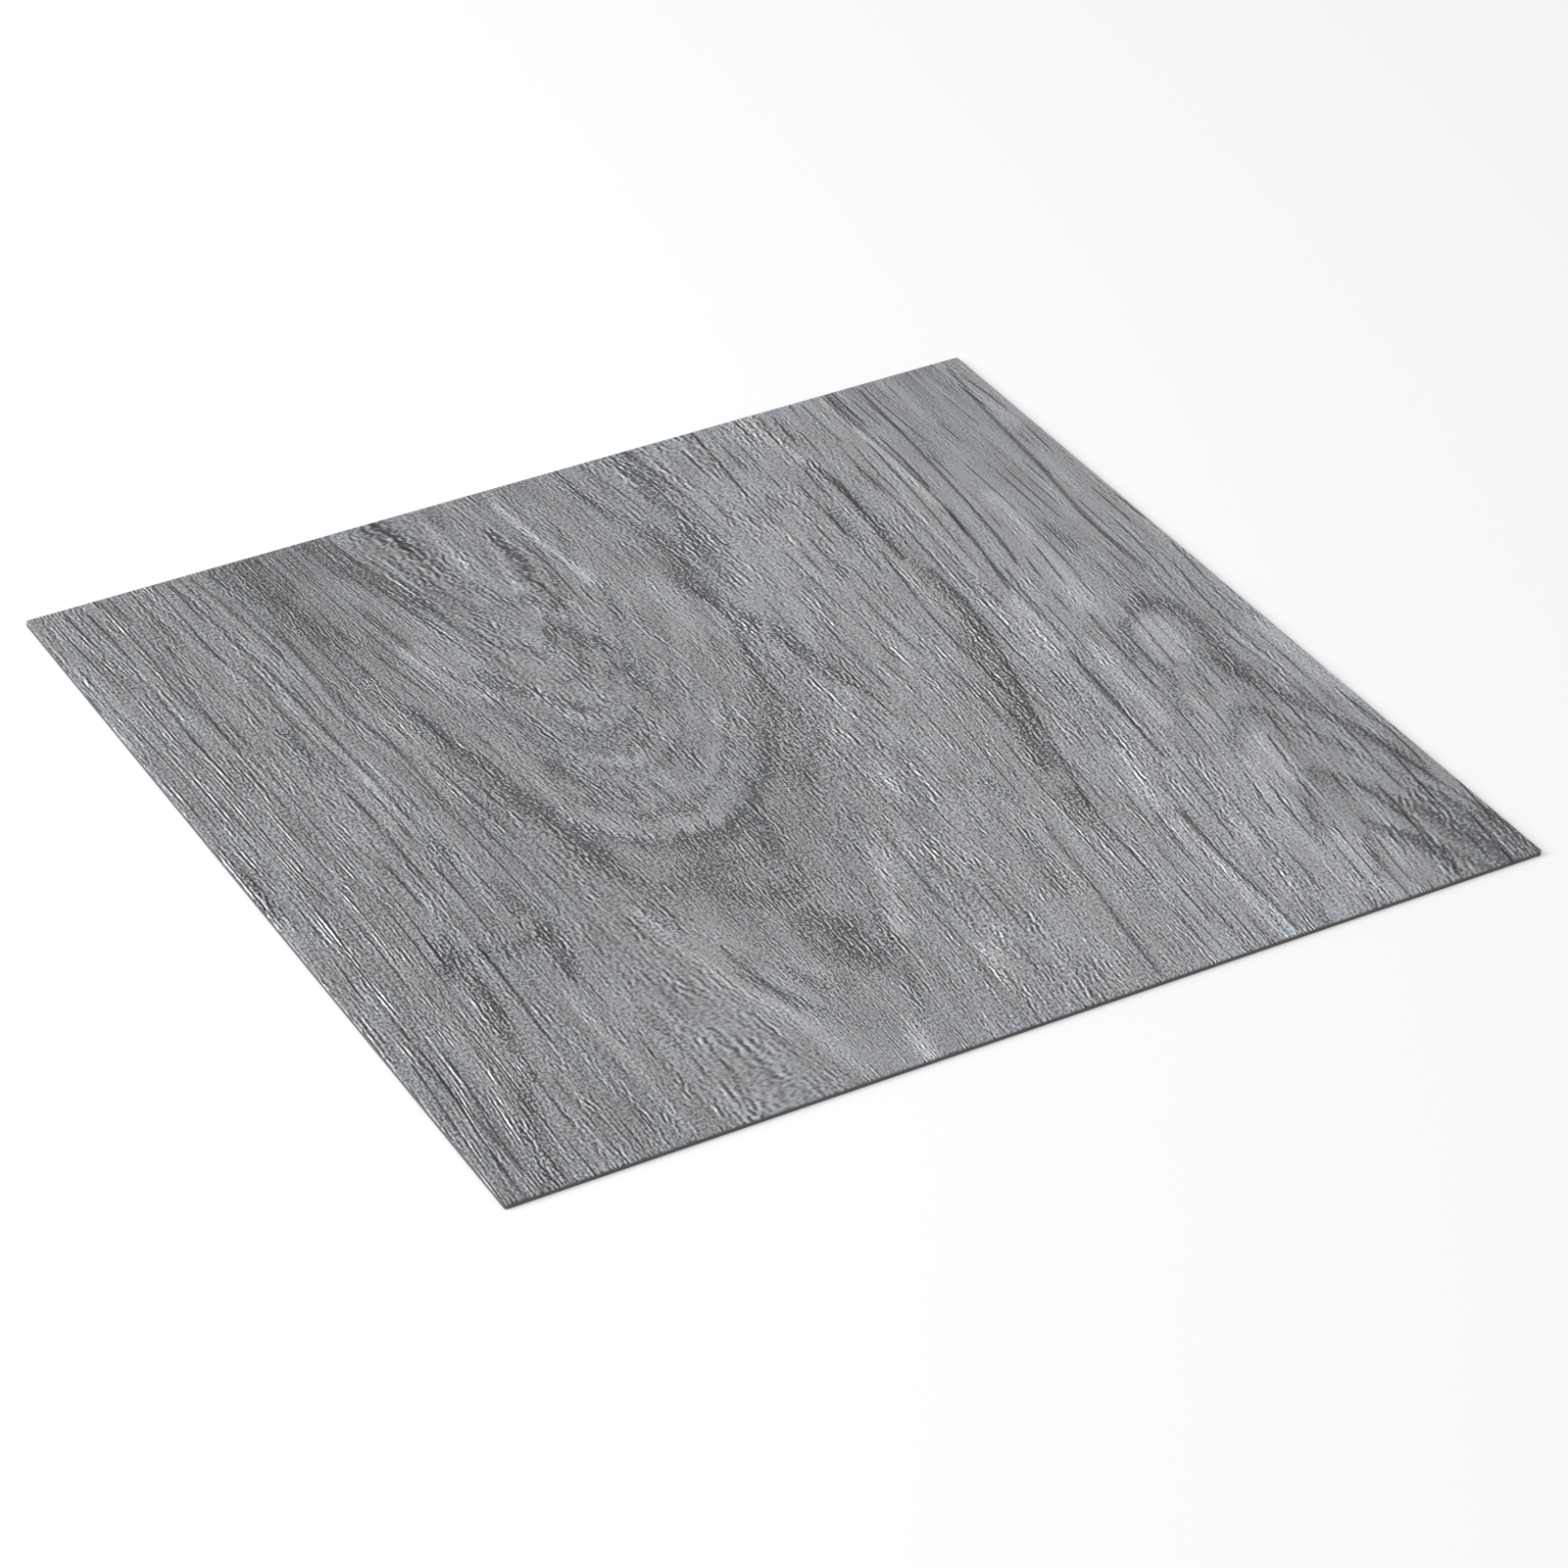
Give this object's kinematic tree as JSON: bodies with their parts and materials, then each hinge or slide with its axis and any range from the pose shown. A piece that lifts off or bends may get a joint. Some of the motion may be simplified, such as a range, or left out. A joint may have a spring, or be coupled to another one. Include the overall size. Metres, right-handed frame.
{
  "type": "vinyl floor tile",
  "caption": "Thin square vinyl floor tile, cut from one flexible sheet, with a grey printed and embossed wood-grain wear face.",
  "frame": {"origin": "centre of the glue face, which is the underside", "axes": "+Z out of the wear face, +Y along the printed grain, +X across it"},
  "size_m": [0.3048, 0.3048, 0.0015],
  "materials": {
    "printed_vinyl": "grey limed-oak print under a clear embossed wear layer, low satin sheen; plain mid-grey PVC on the cut edges and the back"
  },
  "bodies": {
    "root": {"tile": "printed_vinyl"}
  },
  "joints": []
}
